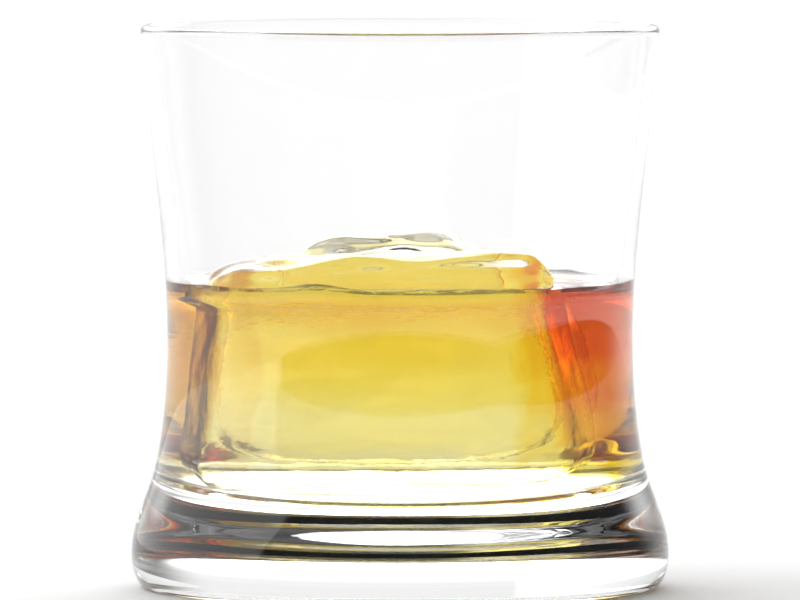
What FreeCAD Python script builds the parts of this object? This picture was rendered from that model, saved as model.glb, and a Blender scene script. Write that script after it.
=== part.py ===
"""Whisky on the rocks: a waisted tumbler with a thick base, whisky and two blocks of ice.

Millimetres, +Z up. The origin is at the middle of the foot, on the surface the glass stands on.
One STEP file per piece goes to parts/: glass, whisky, ice_front and ice_back.
"""
import FreeCAD, Part
import math
import os

# ---------------------------------------------------------------- glass, outside
HEIGHT = 89.0             # foot to the top of the rim
RIM_RADIUS = 41.0         # outer, at the rim
SHOULDER_RADIUS = 38.25   # outer, half way from the waist to the rim
SHOULDER_HEIGHT = 62.0
WAIST_RADIUS = 36.85      # outer, at the narrowest place
WAIST_HEIGHT = 43.5
THROAT_RADIUS = 37.45     # outer, where the wall starts to sweep out
THROAT_HEIGHT = 27.0
FLARE_RADIUS = 39.4       # outer, where it sweeps out most
FLARE_HEIGHT = 17.0
BULGE_RADIUS = 42.5       # outer, the widest place of the base
BULGE_HEIGHT = 5.6
FOOT_RADIUS = 40.3        # outer edge of the ring that the glass stands on
FOOT_SLOPE = 0.6          # rise of the outside for each mm outward, where it leaves the foot
FOOT_RING_WIDTH = 4.5
PUNT_DEPTH = 0.8          # the hollow under the base

# ---------------------------------------------------------------- glass, inside
RIM_WALL = 1.9            # wall at the rim, which is rounded over its whole width
SHOULDER_WALL = 2.0
WAIST_WALL = 2.2
LOWER_WALL = 3.2          # wall where the inside starts to round in to the floor
BASE_THICKNESS = 12.9     # foot to the inner floor
FLOOR_CORNER = 9.0        # radius between the inner floor and the wall

# ---------------------------------------------------------------- whisky
FILL_HEIGHT = 47.6        # foot to the surface of the drink

# ---------------------------------------------------------------- ice
# Each block has three sizes seen from above: at its top, which stands out of the drink, at its
# neck, just under the surface, where it melts fastest, and at its foot.
ICE_SEAT = 0.4            # space between the front block's foot and the inner floor
ICE_WALL_GAP = 0.4        # the least space that melting leaves between the ice and the glass
ICE_NECK_DROP = 4.0       # how far the necks lie under the surface
ICE_CORNER_POWER = 4.5    # squareness of a block seen from above: 2 is an ellipse
ICE_SECTIONS = 13         # sections that a block's surface runs through
ICE_CAP = 0.93            # share of a half height where the end sections lie

FRONT_TOP = (57.0, 25.0)  # along X and along Y
FRONT_NECK = (47.0, 27.0)
FRONT_FOOT = (56.0, 27.0)
FRONT_RISE = 5.4          # how far the middle of its top stands out of the drink
FRONT_X = -3.2
FRONT_Y = -9.5
FRONT_TILT = 2.4          # degrees, right end up
FRONT_TURN = -1.5         # degrees, seen from above
FRONT_EDGE_POWER = 7.0    # squareness of its upper and lower edges

BACK_TOP = (36.0, 20.0)
BACK_NECK = (36.0, 20.0)
BACK_FOOT = (40.0, 19.0)
BACK_RISE = 7.6
BACK_X = -2.5
BACK_GAP = 0.8            # space between the two blocks at their necks
BACK_TILT = 3.0
BACK_TURN = 1.0
BACK_EDGE_POWER = 3.2
BACK_FLOAT = 2.4          # space between the back block and the inner floor


def point(radius, height):
    """A point of a half section, in the XZ plane."""
    return FreeCAD.Vector(radius, 0, height)


def smooth(points, start, end):
    """One smooth curve through the points, leaving and arriving in the given directions."""
    curve = Part.BSplineCurve()
    curve.interpolate(Points=points, InitialTangent=start, FinalTangent=end)
    return curve


def radius_at(curve, height):
    """The radius of a rising curve at one height."""
    low, high = curve.FirstParameter, curve.LastParameter
    for _ in range(60):
        middle = (low + high) / 2
        if curve.value(middle).z < height:
            low = middle
        else:
            high = middle
    return curve.value(low).x


def into_rim():
    """The direction in which both sides of the wall reach the rim."""
    return FreeCAD.Vector(RIM_RADIUS - SHOULDER_RADIUS, 0, HEIGHT - SHOULDER_HEIGHT)


def outer_curve():
    """The outside, from the edge of the foot to the rim."""
    lip = RIM_WALL / 2
    points = [
        point(FOOT_RADIUS, 0),
        point(BULGE_RADIUS, BULGE_HEIGHT),
        point(FLARE_RADIUS, FLARE_HEIGHT),
        point(THROAT_RADIUS, THROAT_HEIGHT),
        point(WAIST_RADIUS, WAIST_HEIGHT),
        point(SHOULDER_RADIUS, SHOULDER_HEIGHT),
        point(RIM_RADIUS, HEIGHT - lip),
    ]
    return smooth(points, FreeCAD.Vector(1, 0, FOOT_SLOPE), into_rim())


def inner_curve(outer):
    """The inside, from the top of the floor's corner to the rim."""
    corner_top = BASE_THICKNESS + FLOOR_CORNER
    points = [
        point(radius_at(outer, corner_top) - LOWER_WALL, corner_top),
        point(WAIST_RADIUS - WAIST_WALL, WAIST_HEIGHT),
        point(SHOULDER_RADIUS - SHOULDER_WALL, SHOULDER_HEIGHT),
        point(RIM_RADIUS - RIM_WALL, HEIGHT - RIM_WALL / 2),
    ]
    return smooth(points, FreeCAD.Vector(0, 0, 1), into_rim())


def turned(edges):
    """The solid swept once round the Z axis by a closed half section."""
    face = Part.Face(Part.Wire(edges))
    return face.revolve(FreeCAD.Vector(0, 0, 0), FreeCAD.Vector(0, 0, 1), 360)


def line(start, end):
    return Part.LineSegment(start, end).toShape()


def floor_and_corner(inner):
    """The inner floor and the round corner that leads up to the wall."""
    wall = inner.value(inner.FirstParameter)
    centre = point(wall.x - FLOOR_CORNER, wall.z)
    diagonal = FLOOR_CORNER * math.sqrt(0.5)
    middle = point(centre.x + diagonal, centre.z - diagonal)
    floor_edge = point(centre.x, centre.z - FLOOR_CORNER)
    corner = Part.Arc(floor_edge, middle, wall).toShape()
    return line(point(0, floor_edge.z), floor_edge), corner


def glass():
    """The tumbler, in one piece."""
    outer = outer_curve()
    inner = inner_curve(outer)
    floor, corner = floor_and_corner(inner)
    ring = FOOT_RADIUS - FOOT_RING_WIDTH
    dome = (ring ** 2 + PUNT_DEPTH ** 2) / (2 * PUNT_DEPTH)
    half_way = PUNT_DEPTH - dome + math.sqrt(dome ** 2 - (ring / 2) ** 2)
    lip = RIM_WALL / 2
    edges = [
        Part.Arc(point(0, PUNT_DEPTH), point(ring / 2, half_way), point(ring, 0)).toShape(),
        line(point(ring, 0), point(FOOT_RADIUS, 0)),
        outer.toShape(),
        Part.Arc(
            point(RIM_RADIUS, HEIGHT - lip),
            point(RIM_RADIUS - lip, HEIGHT),
            point(RIM_RADIUS - RIM_WALL, HEIGHT - lip),
        ).toShape(),
        inner.toShape(),
        corner,
        floor,
        line(point(0, BASE_THICKNESS), point(0, PUNT_DEPTH)),
    ]
    return turned(edges)


def drink():
    """All that fills the glass up to the surface, before the ice is taken out."""
    inner = inner_curve(outer_curve())
    floor, corner = floor_and_corner(inner)
    top = inner.value(inner.LastParameter)
    cavity = turned([
        floor,
        corner,
        inner.toShape(),
        line(top, point(0, top.z)),
        line(point(0, top.z), point(0, BASE_THICKNESS)),
    ])
    above = Part.makeBox(4 * RIM_RADIUS, 4 * RIM_RADIUS, HEIGHT)
    above.translate(FreeCAD.Vector(-2 * RIM_RADIUS, -2 * RIM_RADIUS, FILL_HEIGHT))
    return cavity.cut(above)


def room_for_ice():
    """The space inside the glass, smaller by the space that melting leaves at the wall."""
    inner = inner_curve(outer_curve())
    spans = 12
    side_points = []
    for step in range(spans + 1):
        share = step / spans
        place = inner.value(inner.FirstParameter * (1 - share) + inner.LastParameter * share)
        side_points.append(point(place.x - ICE_WALL_GAP, place.z))
    side = Part.BSplineCurve()
    side.interpolate(Points=side_points)
    low, high = side_points[0], side_points[-1]
    reach = FLOOR_CORNER - ICE_WALL_GAP
    diagonal = reach * math.sqrt(0.5)
    floor_edge = point(low.x - reach, low.z - reach)
    middle = point(floor_edge.x + diagonal, low.z - diagonal)
    return turned([
        line(point(0, floor_edge.z), floor_edge),
        Part.Arc(floor_edge, middle, low).toShape(),
        side.toShape(),
        line(high, point(0, high.z)),
        line(point(0, high.z), point(0, floor_edge.z)),
    ])


def clear_of_wall(ice):
    """The ice, melted back wherever it would come nearer to the glass than the least space."""
    room = room_for_ice()
    return ice.common(room) if ice.cut(room).Volume > 0 else ice


def eased(share):
    """Runs smoothly from 0 to 1 as the share does."""
    share = min(max(share, 0.0), 1.0)
    return share * share * (3 - 2 * share)


def block(top_size, neck_size, foot_size, bottom, top, edge_power):
    """A melted block of ice about the Z axis, lofted through rounded square sections."""
    neck = FILL_HEIGHT - ICE_NECK_DROP
    sections = []
    for step in range(ICE_SECTIONS):
        share = -math.cos(math.pi * step / (ICE_SECTIONS - 1))
        height = bottom + (top - bottom) * (1 + share) / 2
        rounding = (1 - abs(share * ICE_CAP) ** edge_power) ** (1 / edge_power)
        above = eased((height - neck) / (FILL_HEIGHT - neck))
        below = max((neck - height) / (neck - bottom), 0)
        length, depth = (
            rounding / 2 * (at_neck + above * (at_top - at_neck) + below * (at_foot - at_neck))
            for at_top, at_neck, at_foot in zip(top_size, neck_size, foot_size)
        )
        sections.append(rounded_square(length, depth, height))
    return Part.makeLoft(sections, True)


def rounded_square(half_length, half_depth, height):
    """A closed wire: an ellipse with squared corners."""
    power = ICE_CORNER_POWER
    points = []
    count = 16
    for step in range(count):
        angle = 2 * math.pi * step / count
        along, across = math.cos(angle), math.sin(angle)
        reach = (abs(along) ** power + abs(across) ** power) ** (-1 / power)
        points.append(FreeCAD.Vector(half_length * reach * along, half_depth * reach * across, height))
    curve = Part.BSplineCurve()
    curve.interpolate(Points=points, PeriodicFlag=True)
    return Part.Wire(curve.toShape())


def placed(shape, x, y, tilt, turn, pivot_height):
    """Tilts a block about the middle of its top, right end up, turns it and moves it into the glass."""
    pivot = FreeCAD.Vector(0, 0, pivot_height)
    shape.rotate(pivot, FreeCAD.Vector(0, 1, 0), -tilt)
    shape.rotate(pivot, FreeCAD.Vector(0, 0, 1), turn)
    shape.translate(FreeCAD.Vector(x, y, 0))
    return shape


def front_ice():
    top = FILL_HEIGHT + FRONT_RISE
    # Tilting lowers one end of the foot, so the foot is that much higher at its middle.
    drop = FRONT_FOOT[0] / 2 * math.sin(math.radians(abs(FRONT_TILT)))
    bottom = BASE_THICKNESS + ICE_SEAT + drop
    shape = block(FRONT_TOP, FRONT_NECK, FRONT_FOOT, bottom, top, FRONT_EDGE_POWER)
    return clear_of_wall(placed(shape, FRONT_X, FRONT_Y, FRONT_TILT, FRONT_TURN, top))


def back_ice():
    top = FILL_HEIGHT + BACK_RISE
    bottom = BASE_THICKNESS + BACK_FLOAT
    behind = FRONT_Y + FRONT_NECK[1] / 2 + BACK_GAP + BACK_NECK[1] / 2
    shape = block(BACK_TOP, BACK_NECK, BACK_FOOT, bottom, top, BACK_EDGE_POWER)
    return clear_of_wall(placed(shape, BACK_X, behind, BACK_TILT, BACK_TURN, top))


def main():
    os.makedirs("parts", exist_ok=True)
    ice = {"ice_front": front_ice(), "ice_back": back_ice()}
    nodes = {"glass": glass(), "whisky": drink().cut(list(ice.values()))}
    nodes.update(ice)
    for name, shape in nodes.items():
        print(name, shape.isValid(), len(shape.Solids), round(shape.Volume), shape.BoundBox)
        shape.exportStep("parts/" + name + ".step")


main()
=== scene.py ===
"""Whisky on the rocks: the looks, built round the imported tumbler, drink and ice. Metres, +Z up."""
import math
import bmesh
import bpy
import numpy as np
from mathutils import Matrix, Vector, kdtree, noise


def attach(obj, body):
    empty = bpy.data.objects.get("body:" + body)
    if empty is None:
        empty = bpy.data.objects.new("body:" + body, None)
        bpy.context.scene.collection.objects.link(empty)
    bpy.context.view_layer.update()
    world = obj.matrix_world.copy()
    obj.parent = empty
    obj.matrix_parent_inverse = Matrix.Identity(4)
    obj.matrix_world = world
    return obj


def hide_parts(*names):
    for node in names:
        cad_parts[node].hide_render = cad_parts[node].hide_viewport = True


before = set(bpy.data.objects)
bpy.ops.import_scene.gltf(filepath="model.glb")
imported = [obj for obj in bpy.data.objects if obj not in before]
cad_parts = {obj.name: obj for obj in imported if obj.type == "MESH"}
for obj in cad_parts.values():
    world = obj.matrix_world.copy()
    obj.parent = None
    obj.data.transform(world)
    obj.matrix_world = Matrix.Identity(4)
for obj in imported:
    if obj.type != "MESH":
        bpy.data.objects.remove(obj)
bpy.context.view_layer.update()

MM = 0.001

# The glass's outline, as in the CAD source: (radius, height) from the foot to the rim.
OUTSIDE = [
    (40.3, 0.0),
    (42.5, 5.6),
    (39.4, 17.0),
    (37.45, 27.0),
    (36.85, 43.5),
    (38.25, 62.0),
    (41.0, 88.05),
]
LIP_RISE = 0.95           # from the outline's last point to the top of the rounded rim
FOOT_SLOPE = 0.6
FOOT_RING = 4.5 * MM
PUNT_DEPTH = 0.8 * MM
RIM_WALL = 1.9 * MM
SHOULDER_WALL = 2.0 * MM
WAIST_WALL = 2.2 * MM
LOWER_WALL = 3.2 * MM
BASE_THICKNESS = 12.9 * MM
FLOOR_CORNER = 9.0 * MM
ROUND = 256               # points round the glass

FILL_HEIGHT = 47.6 * MM
INTO_WALL = 0.15 * MM     # how far the drink reaches into the glass, so that no air gap shows
INTO_DRINK = 0.05         # mm, how far the ice reaches into the drink
CREEP_LENGTH = 1.7 * MM   # how fast the drink's surface falls away from what it wets
WALL_CREEP = 1.2 * MM     # how high it climbs up the glass
ICE_CREEP = 0.9 * MM      # and up the ice
SWELL = (-13.0 * MM, 5.0 * MM, 1.3 * MM)  # a place at the front where ice near the glass draws it up

# Light that the drink takes off, per metre, in red, green and blue: plain whisky, the same thinned by
# melt water, and painted shade that darkens the drink at the right and at the left, beside the ice.
WHISKY = (10.0, 47.0, 330.0)
THINNED = (7.0, 45.0, 400.0)
RIGHT_PAINTED_SHADE = (9.0, 60.0, 420.0)
LEFT_PAINTED_SHADE = (30.0, 75.0, 190.0)
FLOOR_SHARE = 0.02        # strength of what lies on the floor, which is nearly all melt water

# The drink is stronger towards the surface. Each layer adds its share of the
# full strength above a wavy underside at the given height, in mm. A layer for one side only is painted shade
# beside the ice; it starts that many mm from the axis: right of a positive place, left of a negative one.
LAYERS = [
    ("thin", THINNED, 0.045, 16.8, None),
    ("middle", WHISKY, 0.038, 29.0, None),
    ("upper", WHISKY, 0.035, 35.0, None),
    ("top", WHISKY, 0.085, 42.0, None),
    # painted shade: the drink darkened at the right and at the left, beside the ice
    ("right_shade_deep", RIGHT_PAINTED_SHADE, 0.40, 19.0, 18.0),
    ("right_shade_middle", RIGHT_PAINTED_SHADE, 0.25, 29.0, 18.0),
    ("right_shade_top", RIGHT_PAINTED_SHADE, 0.30, 35.5, 18.0),
    ("left", LEFT_PAINTED_SHADE, 0.42, 18.5, -22.0),
]
LAYER_WAVE = 2.6          # mm, how far the undersides swing up and down
SIDE_WAVE = 1.5           # mm, the same for the upright sides
LAYER_ROUND = 128         # points round a layer
LAYER_INSET = 0.08        # mm between the faces of one layer and the next, so that none coincide
LAYER_LOWEST = 0.3        # mm over the floor
LAYER_THINNEST = 0.4      # mm
WAVE_SIZE = 11            # mm, how wide an underside's waves are
UNDERSIDE_RINGS = 34
SIDE_RINGS = 24
TOP_RINGS = 12
CUTTER_REACH = 60         # mm, so that a cutting block passes right through a layer
CUTTER_CUTS = 40

# The two blocks of ice, in millimetres: three sizes seen from above, then the ends, place and lean.
NECK_HEIGHT = 45.6
CHIP_FROM = 46.0          # chips are only knocked off what stands out of the drink
CHIP_FADE = 1.6
CORNER_POWER = 4.5
ICE_WALL_GAP = 0.4
ICE_CUTS = 60             # how finely a block is divided
CUTTING_ICE_CUTS = 30     # the same for the copies that only cut a layer
FRONT_SEED = 3.0
BACK_SEED = 8.0
FRONT = dict(
    top_size=(57, 25), neck_size=(47, 27), foot_size=(56, 27), bottom=14.45, top=53.0,
    x=-3.2, y=-9.5, tilt=2.4, turn=-1.5, edge=7.0, chip_at=(25.0, -20.0, 53.8),
    chips=[
        (1.0, -0.5, 0.5, 0.8),
        (0.9, -0.9, -0.1, 1.8),
        (1.0, 0.2, 0.9, 3.0),
        (0.35, -1.0, 0.55, 1.2),
        (1.0, -0.1, -0.25, 0.5),
    ],
)
BACK = dict(
    top_size=(36, 20), neck_size=(36, 20), foot_size=(40, 19), bottom=15.3, top=55.2,
    x=-2.5, y=14.8, tilt=3.0, turn=1.0, edge=3.2, chip_at=(0, 0, 0), chips=[],
)

GLASS_LOOK = dict(
    ior=1.5, shine=0.15, tint=(0.997, 0.999, 0.998), swell=30 * MM,
    relief_depth=0.004 * MM, relief_size=9 * MM,
)
ICE_LOOK = dict(
    ior=1.31, shine=0.2, tint=(0.99, 0.995, 0.997), relief_depth=0.06 * MM,
    relief_size=2.2 * MM, stretch=(2.2, 1, 0.8), dullness=0.05,
)
WHISKY_LOOK = dict(ior=1.36, shine=0.1, tint=(1, 0.998, 0.994))
LAYER_LOOK = dict(ior=1.0, tint=(1, 0.9995, 0.998))  # bends no light, only takes some off

# The studio: a large bright field behind the glass, a dimmer one at its left, and dark in front.
BACK_LIGHT = 4.9
HORIZON_SHARE = 0.26      # how much of the light behind there is low down
FRONT_LIGHT = 0.14
SIDE_SHARE = 0.38
FLOOR_REACH = 8.0         # to the back and the left, which the camera sees
FLOOR_EDGE = 0.5          # to the front and the right
FLOOR_COLOUR = (0.94, 0.94, 0.94, 1)
FLOOR_ROUGHNESS = 0.9
CAMERA_DISTANCE = 2.2
CAMERA_RISE = 3.0         # degrees above the point it looks at
FRAME_WIDTH = 126.4 * MM  # what the picture's width spans at the glass
AIM_HEIGHT = 45.5 * MM
SENSOR_WIDTH = 36         # mm
BOUNCES = 200             # light crosses many nested surfaces in the drink


def spline(points, start, end, count):
    """A smooth curve through the points with the given end directions, sampled evenly."""
    points = np.array(points, float)
    chord = np.linalg.norm(np.diff(points, axis=0), axis=1)
    knots = np.concatenate([[0], np.cumsum(chord)])
    n = len(points)
    matrix = np.zeros((n, n))
    right = np.zeros((n, 2))
    matrix[0, 0] = matrix[-1, -1] = 1
    right[0] = np.array(start) / np.linalg.norm(start)
    right[-1] = np.array(end) / np.linalg.norm(end)
    for i in range(1, n - 1):
        before, after = chord[i - 1], chord[i]
        matrix[i, i - 1 : i + 2] = after, 2 * (before + after), before
        slope_before = (points[i] - points[i - 1]) / before
        slope_after = (points[i + 1] - points[i]) / after
        right[i] = 3 * (after * slope_before + before * slope_after)
    slopes = np.linalg.solve(matrix, right)
    out = []
    for value in np.linspace(0, knots[-1], count):
        i = min(int(np.searchsorted(knots, value, side="right")) - 1, n - 2)
        t = (value - knots[i]) / chord[i]
        a = 2 * t**3 - 3 * t**2 + 1
        b = t**3 - 2 * t**2 + t
        out.append(a * points[i] + b * chord[i] * slopes[i] + (1 - a) * points[i + 1]
                   + (t**3 - t**2) * chord[i] * slopes[i + 1])
    return np.array(out)


def arc(centre, radius, start, end, count):
    """Points along part of a circle, from one angle in degrees to another."""
    angles = np.radians(np.linspace(start, end, count))
    return np.stack([centre[0] + radius * np.cos(angles), centre[1] + radius * np.sin(angles)], axis=1)


def rim_direction():
    """The way that the wall runs where it meets the rim."""
    return (OUTSIDE[-1][0] - OUTSIDE[-2][0], OUTSIDE[-1][1] - OUTSIDE[-2][1] + LIP_RISE)


def outer_line():
    """The glass's outside, from the foot to the rim."""
    points = [(r * MM, z * MM) for r, z in OUTSIDE]
    return spline(points, (1, FOOT_SLOPE), rim_direction(), 160)


def inner_line(outer):
    """The glass's inside: from the axis over the floor, round the corner and up the wall."""
    corner_top = BASE_THICKNESS + FLOOR_CORNER
    at_corner = float(np.interp(corner_top, outer[:, 1], outer[:, 0]))
    points = [
        (at_corner - LOWER_WALL, corner_top),
        (OUTSIDE[4][0] * MM - WAIST_WALL, OUTSIDE[4][1] * MM),
        (OUTSIDE[5][0] * MM - SHOULDER_WALL, OUTSIDE[5][1] * MM),
        (OUTSIDE[6][0] * MM - RIM_WALL, OUTSIDE[6][1] * MM),
    ]
    wall = spline(points, (0, 1), rim_direction(), 110)
    corner = arc((wall[0, 0] - FLOOR_CORNER, corner_top), FLOOR_CORNER, -90, 0, 28)
    floor = [(x, BASE_THICKNESS) for x in np.linspace(0, corner[0, 0], 14)[:-1]]
    return np.concatenate([floor, corner[:-1], wall])


def ring_of(radius, height, count=ROUND):
    """A level ring of points round the axis."""
    angles = [2 * math.pi * step / count for step in range(count)]
    return [Vector((radius * math.cos(a), radius * math.sin(a), height)) for a in angles]


def skinned(name, rings):
    """A closed mesh through rings of points; the first and last are single points on the axis."""
    vertices, faces, places = [], [], []
    for ring in rings:
        places.append(range(len(vertices), len(vertices) + len(ring)))
        vertices.extend(ring)
    for low, high in zip(places[:-1], places[1:]):
        count = max(len(low), len(high))
        for step in range(count):
            after = (step + 1) % count
            if len(low) == 1:
                faces.append((low[0], high[after], high[step]))
            elif len(high) == 1:
                faces.append((low[step], low[after], high[0]))
            else:
                faces.append((low[step], low[after], high[after], high[step]))
    return mesh_object(name, vertices, faces)


def turned(name, line):
    """A closed mesh swept round Z by a line of (radius, height) whose two ends lie on the axis."""
    rings = [[Vector((0, 0, z))] if r < 1e-7 else ring_of(r, z) for r, z in line]
    return skinned(name, rings)


def mesh_object(name, vertices, faces):
    """A smooth-shaded object in the scene from its points and faces."""
    mesh = bpy.data.meshes.new(name)
    mesh.from_pydata([tuple(map(float, v)) for v in vertices], [], faces)
    mesh.update()
    mesh.shade_smooth()
    made = bpy.data.objects.new(name, mesh)
    bpy.context.scene.collection.objects.link(made)
    return made


def offset(line, distance):
    """The line moved sideways, to the right of the way it runs."""
    tangent = np.gradient(line, axis=0)
    tangent /= np.linalg.norm(tangent, axis=1)[:, None]
    return line + distance * np.stack([tangent[:, 1], -tangent[:, 0]], axis=1)


def glass():
    """The tumbler, turned from its whole outline, with a slightly hollow underside."""
    outer = outer_line()
    inner = inner_line(outer)
    ring = OUTSIDE[0][0] * MM - FOOT_RING
    dome = (ring**2 + PUNT_DEPTH**2) / (2 * PUNT_DEPTH)
    punt = [(x, PUNT_DEPTH - dome + math.sqrt(dome**2 - x**2)) for x in np.linspace(0, ring, 24)]
    lip = arc((OUTSIDE[-1][0] * MM - RIM_WALL / 2, outer[-1, 1]), RIM_WALL / 2, 0, 180, 16)
    line = np.concatenate([punt, outer, lip[1:-1], inner[::-1]])
    return turned("glass_tumbler", line)


def eased(share):
    """The share held between 0 and 1, with a soft start and end."""
    share = min(max(share, 0.0), 1.0)
    return share * share * (3 - 2 * share)


def relief(place, seed):
    """How far a melted surface stands out at a place, in mm: broad hollows, ridges and fine waves."""
    broad = noise.noise(place / 13 + Vector((seed, 0, 0)))
    fine = noise.noise(place / 4 + Vector((0, seed, 0)))
    out = 0.6 * broad + 0.15 * fine
    surface = FILL_HEIGHT / MM
    if place.z > surface - 1:
        ridge = noise.noise(Vector((place.x / 12, place.y / 4.5, place.z / 3 + seed)))
        ripple = noise.noise(Vector((place.x / 5, place.y / 2.4, place.z / 1.6 + seed)))
        out += eased((place.z - surface + 1) / 3) * (0.9 * ridge + 0.35 * ripple)
    return out


def chipped(place, chips):
    """The place, or where it meets the flat face of a chip that was knocked off there."""
    dry = eased((place.z - CHIP_FROM) / CHIP_FADE)
    for facing, depth in chips:
        over = place.dot(facing) - depth
        if over > 0:
            place = place - facing * over * dry
    return place


def ice_block(name, spec, seed, grow=0.0, steps=ICE_CUTS):
    """A melted block: a cube's surface pushed out to a rounded square form, with hollows and chips."""
    mesh = bpy.data.meshes.new(name)
    shape = bmesh.new()
    bmesh.ops.create_cube(shape, size=2)
    bmesh.ops.subdivide_edges(shape, edges=shape.edges[:], cuts=steps, use_grid_fill=True)
    half = (spec["top"] - spec["bottom"]) / 2
    power = CORNER_POWER
    edge = spec["edge"]
    surface = FILL_HEIGHT / MM
    for vertex in shape.verts:
        x, y, z = (math.sin(c * math.pi / 2) if abs(c) < 1 else c for c in vertex.co)
        plan = (abs(x) ** power + abs(y) ** power) ** (1 / power)
        reach = (plan**edge + abs(z) ** edge) ** (1 / edge)
        x, y, z = x / reach, y / reach, z / reach
        height = spec["bottom"] + half * (1 + z)
        above = eased((height - NECK_HEIGHT) / (surface - NECK_HEIGHT))
        below = max((NECK_HEIGHT - height) / (NECK_HEIGHT - spec["bottom"]), 0)
        length, depth = (
            at_neck + above * (at_top - at_neck) + below * (at_foot - at_neck)
            for at_top, at_neck, at_foot in zip(spec["top_size"], spec["neck_size"], spec["foot_size"])
        )
        vertex.co = Vector((x * length / 2, y * depth / 2, height - spec["top"]))
    turn = Matrix.Rotation(math.radians(spec["turn"]), 3, "Z")
    lean = turn @ Matrix.Rotation(math.radians(-spec["tilt"]), 3, "Y")
    for vertex in shape.verts:
        vertex.co = lean @ vertex.co + Vector((spec["x"], spec["y"], spec["top"]))
    shape.normal_update()
    moves = [vertex.normal * (relief(vertex.co, seed) + grow) for vertex in shape.verts]
    chips = []
    for x, y, z, depth in spec["chips"]:
        facing = Vector((x, y, z)).normalized()
        corner = Vector(spec["chip_at"])
        chips.append((facing, facing.dot(corner) - depth + grow))
    cavity = inner_line(outer_line()) / MM
    for vertex, move in zip(shape.verts, moves):
        place = chipped(vertex.co + move, chips)
        room = float(np.interp(place.z, cavity[:, 1], cavity[:, 0])) - ICE_WALL_GAP
        reach = math.hypot(place.x, place.y)
        if reach > room:
            place.x *= room / reach
            place.y *= room / reach
        vertex.co = place * MM
    shape.to_mesh(mesh)
    shape.free()
    mesh.shade_smooth()
    made = bpy.data.objects.new(name, mesh)
    bpy.context.scene.collection.objects.link(made)
    return made


def surface_rise(blocks):
    """How high the drink's surface stands above its level at a place: it creeps up glass and ice."""
    rims = [v.co for block in blocks for v in block.data.vertices if abs(v.co.z - FILL_HEIGHT) < 1.0 * MM]
    tree = kdtree.KDTree(len(rims))
    for number, place in enumerate(rims):
        tree.insert((place.x, place.y, 0), number)
    tree.balance()
    centre, width, height = SWELL

    def rise(x, y, from_wall):
        to_ice = tree.find((x, y, 0))[2]
        wall = WALL_CREEP * (1 + 0.35 * noise.noise(Vector((x, y, 0)) / (9 * MM)))
        if y < 0:
            wall += height * math.exp(-(((x - centre) / width) ** 2))
        up_wall = wall * math.exp(-from_wall / CREEP_LENGTH)
        up_ice = ICE_CREEP * math.exp(-to_ice / CREEP_LENGTH)
        return math.hypot(up_wall, up_ice)

    return rise


def drink(blocks):
    """The drink, from the floor to a surface that creeps up the glass and the ice."""
    wall = offset(inner_line(outer_line()), INTO_WALL)
    wall[0] = (0, wall[1, 1])
    rise = surface_rise(blocks)
    rings = [[Vector((0, 0, wall[0, 1]))]]
    rings += [ring_of(r, z) for r, z in wall[1:] if z < FILL_HEIGHT - 1.0 * MM]
    edge = float(np.interp(FILL_HEIGHT, wall[:, 1], wall[:, 0]))
    from_wall = [0.0, 0.15, 0.3, 0.5, 0.75, 1.05, 1.4, 1.8, 2.3, 2.9]
    from_wall += list(np.arange(3.5, edge / MM - 0.2, 0.55))
    for distance in from_wall:
        ring = []
        for place in ring_of(edge - distance * MM, FILL_HEIGHT):
            up = rise(place.x, place.y, distance * MM)
            if distance == 0:
                radius = float(np.interp(FILL_HEIGHT + up, wall[:, 1], wall[:, 0]))
                place = Vector((place.x * radius / edge, place.y * radius / edge, place.z))
            ring.append(place + Vector((0, 0, up)))
        rings.append(ring)
    rings.append([Vector((0, 0, FILL_HEIGHT + rise(0, 0, edge)))])
    return skinned("whisky_fill", rings)


def layer(name, height, seed, inset):
    """Stronger drink, or painted shade for a one-side layer: all above a wavy underside, up to just under
    the surface.
    """
    wall = offset(inner_line(outer_line()), -inset)
    top = FILL_HEIGHT - inset
    lowest = BASE_THICKNESS + LAYER_LOWEST * MM

    def underside(place):
        wave = 2 * LAYER_WAVE * noise.noise(Vector((place.x, place.y, seed * MM)) / (WAVE_SIZE * MM))
        return min(max((height + wave) * MM, lowest), top - LAYER_THINNEST * MM)

    def at_height(place, share, up):
        radius = share * float(np.interp(up, wall[:, 1], wall[:, 0]))
        flat = math.hypot(place.x, place.y)
        return Vector((place.x / flat * radius, place.y / flat * radius, up))

    edge = float(np.interp(top, wall[:, 1], wall[:, 0]))
    rings = [[Vector((0, 0, underside(Vector((0, 0, 0)))))]]
    for share in np.linspace(0, 1, UNDERSIDE_RINGS)[1:]:
        ring = ring_of(edge * share, 0, LAYER_ROUND)
        rings.append([at_height(place, share, underside(place)) for place in ring])
    last = rings[-1]
    for share in np.linspace(0, 1, SIDE_RINGS)[1:]:
        rings.append([at_height(place, 1, place.z + (top - place.z) * share) for place in last])
    for share in np.linspace(1, 0, TOP_RINGS)[1:-1]:
        rings.append(ring_of(edge * share, top, LAYER_ROUND))
    rings.append([Vector((0, 0, top))])
    return skinned(name, rings)


def beyond(place, seed):
    """A block that covers all on the axis's side of an upright wavy plane; for cutting."""
    shape = bmesh.new()
    bmesh.ops.create_cube(shape, size=2)
    bmesh.ops.subdivide_edges(shape, edges=shape.edges[:], cuts=CUTTER_CUTS, use_grid_fill=True)
    side = math.copysign(1, place)
    for vertex in shape.verts:
        y, z = CUTTER_REACH * vertex.co.y, CUTTER_REACH * vertex.co.z
        wave = 2 * SIDE_WAVE * noise.noise(Vector((y / 9, z / 14, seed)))
        reach = vertex.co.x * side
        x = place + wave if reach > 0.999 else place - side * CUTTER_REACH * (1 - reach)
        vertex.co = Vector((x, y, z)) * MM
    mesh = bpy.data.meshes.new("beyond")
    shape.to_mesh(mesh)
    shape.free()
    made = bpy.data.objects.new("beyond", mesh)
    bpy.context.scene.collection.objects.link(made)
    return made


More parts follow.
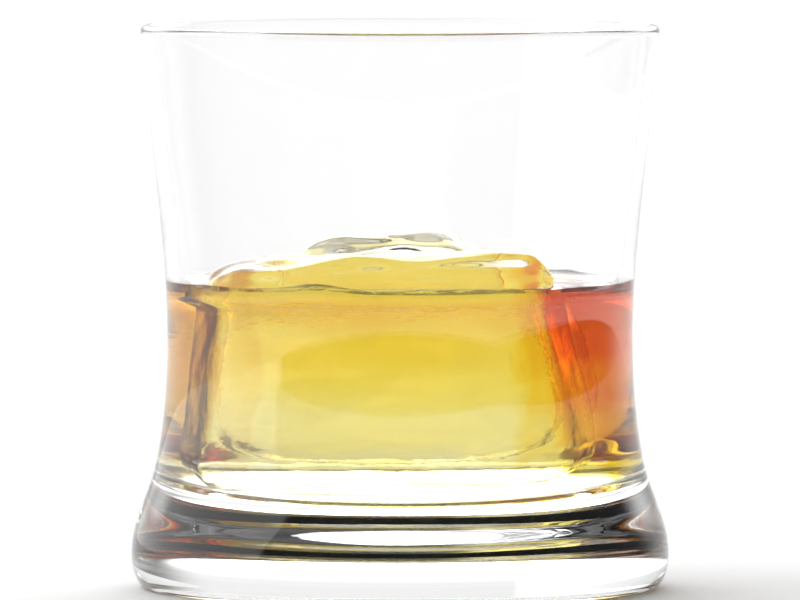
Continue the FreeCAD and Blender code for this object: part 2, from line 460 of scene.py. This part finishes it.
def cut_out(piece, tools):
    """Takes the tools' forms out of the piece."""
    for tool in tools:
        cut = piece.modifiers.new("cut", "BOOLEAN")
        cut.operation = "DIFFERENCE"
        cut.object = tool
        cut.solver = "MANIFOLD"
    depsgraph = bpy.context.evaluated_depsgraph_get()
    mesh = bpy.data.meshes.new_from_object(piece.evaluated_get(depsgraph))
    piece.modifiers.clear()
    piece.data = mesh
    piece.data.materials.clear()


def grain(nodes, links, size, stretch=(1, 1, 1), detail=3.0):
    """Noise over the piece, with its main swells this size in metres."""
    place = nodes.new("ShaderNodeTexCoord")
    scaled = nodes.new("ShaderNodeMapping")
    scaled.inputs["Scale"].default_value = [1 / (size * s) for s in stretch]
    links.new(place.outputs["Object"], scaled.inputs["Vector"])
    noise_node = nodes.new("ShaderNodeTexNoise")
    noise_node.inputs["Scale"].default_value = 1.0
    noise_node.inputs["Detail"].default_value = detail
    links.new(scaled.outputs["Vector"], noise_node.inputs["Vector"])
    return noise_node.outputs["Fac"]


def clear_material(name, ior, absorption=None, shine=0.5, tint=(1, 1, 1), swell=12 * MM, relief_depth=0.0,
                   relief_size=3 * MM, stretch=(1, 1, 1), dullness=0.0):
    """Clear glass, ice or liquid. Absorption is per metre in red, green and blue; the tint comes and goes
    in swells; the relief is fine waves this deep; the dullness is the most roughness in any place."""
    material = bpy.data.materials.new(name)
    material.use_nodes = True
    nodes, links = material.node_tree.nodes, material.node_tree.links
    shader = nodes["Principled BSDF"]
    shader.inputs["Roughness"].default_value = 0.0
    shader.inputs["IOR"].default_value = ior
    shader.inputs["Transmission Weight"].default_value = 1.0
    shader.inputs["Specular IOR Level"].default_value = shine
    swells = grain(nodes, links, swell)
    colours = nodes.new("ShaderNodeValToRGB")
    colours.color_ramp.elements[0].position = 0.35
    colours.color_ramp.elements[0].color = (1, 1, 1, 1)
    colours.color_ramp.elements[1].position = 0.7
    colours.color_ramp.elements[1].color = (*tint, 1)
    links.new(swells, colours.inputs["Fac"])
    links.new(colours.outputs["Color"], shader.inputs["Base Color"])
    if relief_depth:
        bump = nodes.new("ShaderNodeBump")
        bump.inputs["Strength"].default_value = 1.0
        bump.inputs["Distance"].default_value = relief_depth
        links.new(grain(nodes, links, relief_size, stretch), bump.inputs["Height"])
        links.new(bump.outputs["Normal"], shader.inputs["Normal"])
    if dullness:
        dull = nodes.new("ShaderNodeMapRange")
        dull.inputs["From Min"].default_value = 0.5
        dull.inputs["From Max"].default_value = 0.75
        dull.inputs["To Max"].default_value = dullness
        links.new(swells, dull.inputs["Value"])
        links.new(dull.outputs["Result"], shader.inputs["Roughness"])
    if absorption:
        volume = nodes.new("ShaderNodeVolumeAbsorption")
        density = max(absorption) * 1.02
        volume.inputs["Color"].default_value = (*[1 - k / density for k in absorption], 1)
        volume.inputs["Density"].default_value = density
        links.new(volume.outputs["Volume"], nodes["Material Output"].inputs["Volume"])
    return material


def layers():
    """The stronger drink inside the drink; a layer for one side, which is painted shade, is cut round the
    ice as well.
    """
    made = []
    for number, (kind, colour, share, height, side) in enumerate(LAYERS):
        name = "whisky_" + kind
        inset = (number + 1) * LAYER_INSET
        piece = layer(name, height, 10.0 * number, inset * MM)
        # a layer for one side is painted shade: it darkens the drink at the right or the left
        if side is not None:
            tools = [
                beyond(side, number),
                ice_block("cut", FRONT, FRONT_SEED, inset, CUTTING_ICE_CUTS),
                ice_block("cut", BACK, BACK_SEED, inset, CUTTING_ICE_CUTS),
            ]
            cut_out(piece, tools)
            discard(tools)
        piece.data.shade_flat()
        piece.data.materials.append(clear_material(name, absorption=share_of(colour, share), **LAYER_LOOK))
        made.append(piece)
    return made


def share_of(colour, share):
    """The colour's absorption at a share of its strength."""
    return tuple(k * share for k in colour)


def discard(pieces):
    """Takes pieces that were only needed for cutting out of the scene."""
    for piece in pieces:
        bpy.data.objects.remove(piece)


def studio_floor():
    """A pale, dull floor."""
    corners = [
        (-FLOOR_REACH, -FLOOR_EDGE, 0),
        (FLOOR_EDGE, -FLOOR_EDGE, 0),
        (FLOOR_EDGE, FLOOR_REACH, 0),
        (-FLOOR_REACH, FLOOR_REACH, 0),
    ]
    floor = mesh_object("floor", corners, [(0, 1, 2, 3)])
    material = bpy.data.materials.new("floor")
    material.use_nodes = True
    shader = material.node_tree.nodes["Principled BSDF"]
    shader.inputs["Base Color"].default_value = FLOOR_COLOUR
    shader.inputs["Roughness"].default_value = FLOOR_ROUGHNESS
    floor.data.materials.append(material)
    return floor


def ramp(tree, socket, start, end, low=0.0, high=1.0):
    """The low value where the socket is at the start, rising softly to the high one at the end."""
    node = tree.nodes.new("ShaderNodeMapRange")
    node.interpolation_type = "SMOOTHSTEP"
    node.inputs["From Min"].default_value = start
    node.inputs["From Max"].default_value = end
    node.inputs["To Min"].default_value = low
    node.inputs["To Max"].default_value = high
    tree.links.new(socket, node.inputs["Value"])
    return node.outputs["Result"]


def maths(tree, operation, first, second):
    """One arithmetic step on two sockets."""
    node = tree.nodes.new("ShaderNodeMath")
    node.operation = operation
    tree.links.new(first, node.inputs[0])
    tree.links.new(second, node.inputs[1])
    return node.outputs["Value"]


def studio_world():
    """Light that depends only on the direction it comes from."""
    world = bpy.data.worlds.new("studio")
    world.use_nodes = True
    tree = world.node_tree
    where = tree.nodes.new("ShaderNodeTexCoord")
    apart = tree.nodes.new("ShaderNodeSeparateXYZ")
    tree.links.new(where.outputs["Generated"], apart.inputs["Vector"])
    x, y, z = (apart.outputs[axis] for axis in "XYZ")
    behind = maths(tree, "MULTIPLY", ramp(tree, y, 0.45, 0.85), ramp(tree, z, 0.05, 0.3, HORIZON_SHARE, 1.0))
    past_edge = ramp(tree, y, -0.47, -0.44)
    at_left = maths(tree, "MULTIPLY", past_edge, ramp(tree, x, -0.1, -0.4, 0.0, SIDE_SHARE))
    share = maths(tree, "MAXIMUM", behind, at_left)
    background = tree.nodes["Background"]
    background.inputs["Color"].default_value = (1, 1, 1, 1)
    strength = ramp(tree, share, 0.0, 1.0, FRONT_LIGHT, BACK_LIGHT)
    tree.links.new(strength, background.inputs["Strength"])
    return world


def studio_camera():
    """A long lens in front of the glass, looking slightly down."""
    camera = bpy.data.objects.new("camera", bpy.data.cameras.new("camera"))
    bpy.context.scene.collection.objects.link(camera)
    rise = math.radians(CAMERA_RISE)
    back = Vector((0, -math.cos(rise), math.sin(rise)))
    camera.location = Vector((0, 0, AIM_HEIGHT)) + back * CAMERA_DISTANCE
    camera.rotation_mode = "QUATERNION"
    camera.rotation_quaternion = (-back).to_track_quat("-Z", "Y")
    camera.data.sensor_width = SENSOR_WIDTH
    camera.data.lens = SENSOR_WIDTH * CAMERA_DISTANCE / FRAME_WIDTH
    camera.data.clip_end = 20
    return camera


tumbler = glass()
tumbler.data.materials.append(clear_material("glass", **GLASS_LOOK))
ice_front = ice_block("ice_front_block", FRONT, FRONT_SEED)
ice_back = ice_block("ice_back_block", BACK, BACK_SEED)
whisky = drink([ice_front, ice_back])
cavities = [
    ice_block("cut_a", FRONT, FRONT_SEED, -INTO_DRINK),
    ice_block("cut_b", BACK, BACK_SEED, -INTO_DRINK),
]
cut_out(whisky, cavities)
# the stronger drink, and the painted shade at the right and left
drink_and_shade_layers = layers()
discard(cavities)
ice_material = clear_material("ice", **ICE_LOOK)
for ice in (ice_front, ice_back):
    ice.data.materials.append(ice_material)
whisky.data.materials.append(
    clear_material("whisky", absorption=share_of(THINNED, FLOOR_SHARE), **WHISKY_LOOK)
)

for piece, node, slot in (
    (tumbler, "glass", "glass"),
    (whisky, "whisky", "whisky"),
    (ice_front, "ice_front", "ice"),
    (ice_back, "ice_back", "ice"),
):
    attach(piece, "root")
    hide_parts(node)
for piece in drink_and_shade_layers:
    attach(piece, "root")

studio_floor()
scene = bpy.context.scene
scene.world = studio_world()
scene.camera = studio_camera()
scene.view_settings.view_transform = "Standard"
scene.cycles.max_bounces = BOUNCES
scene.cycles.transmission_bounces = BOUNCES
scene.cycles.glossy_bounces = 12
scene.cycles.transparent_max_bounces = 16
scene.cycles.caustics_refractive = True
scene.cycles.caustics_reflective = False
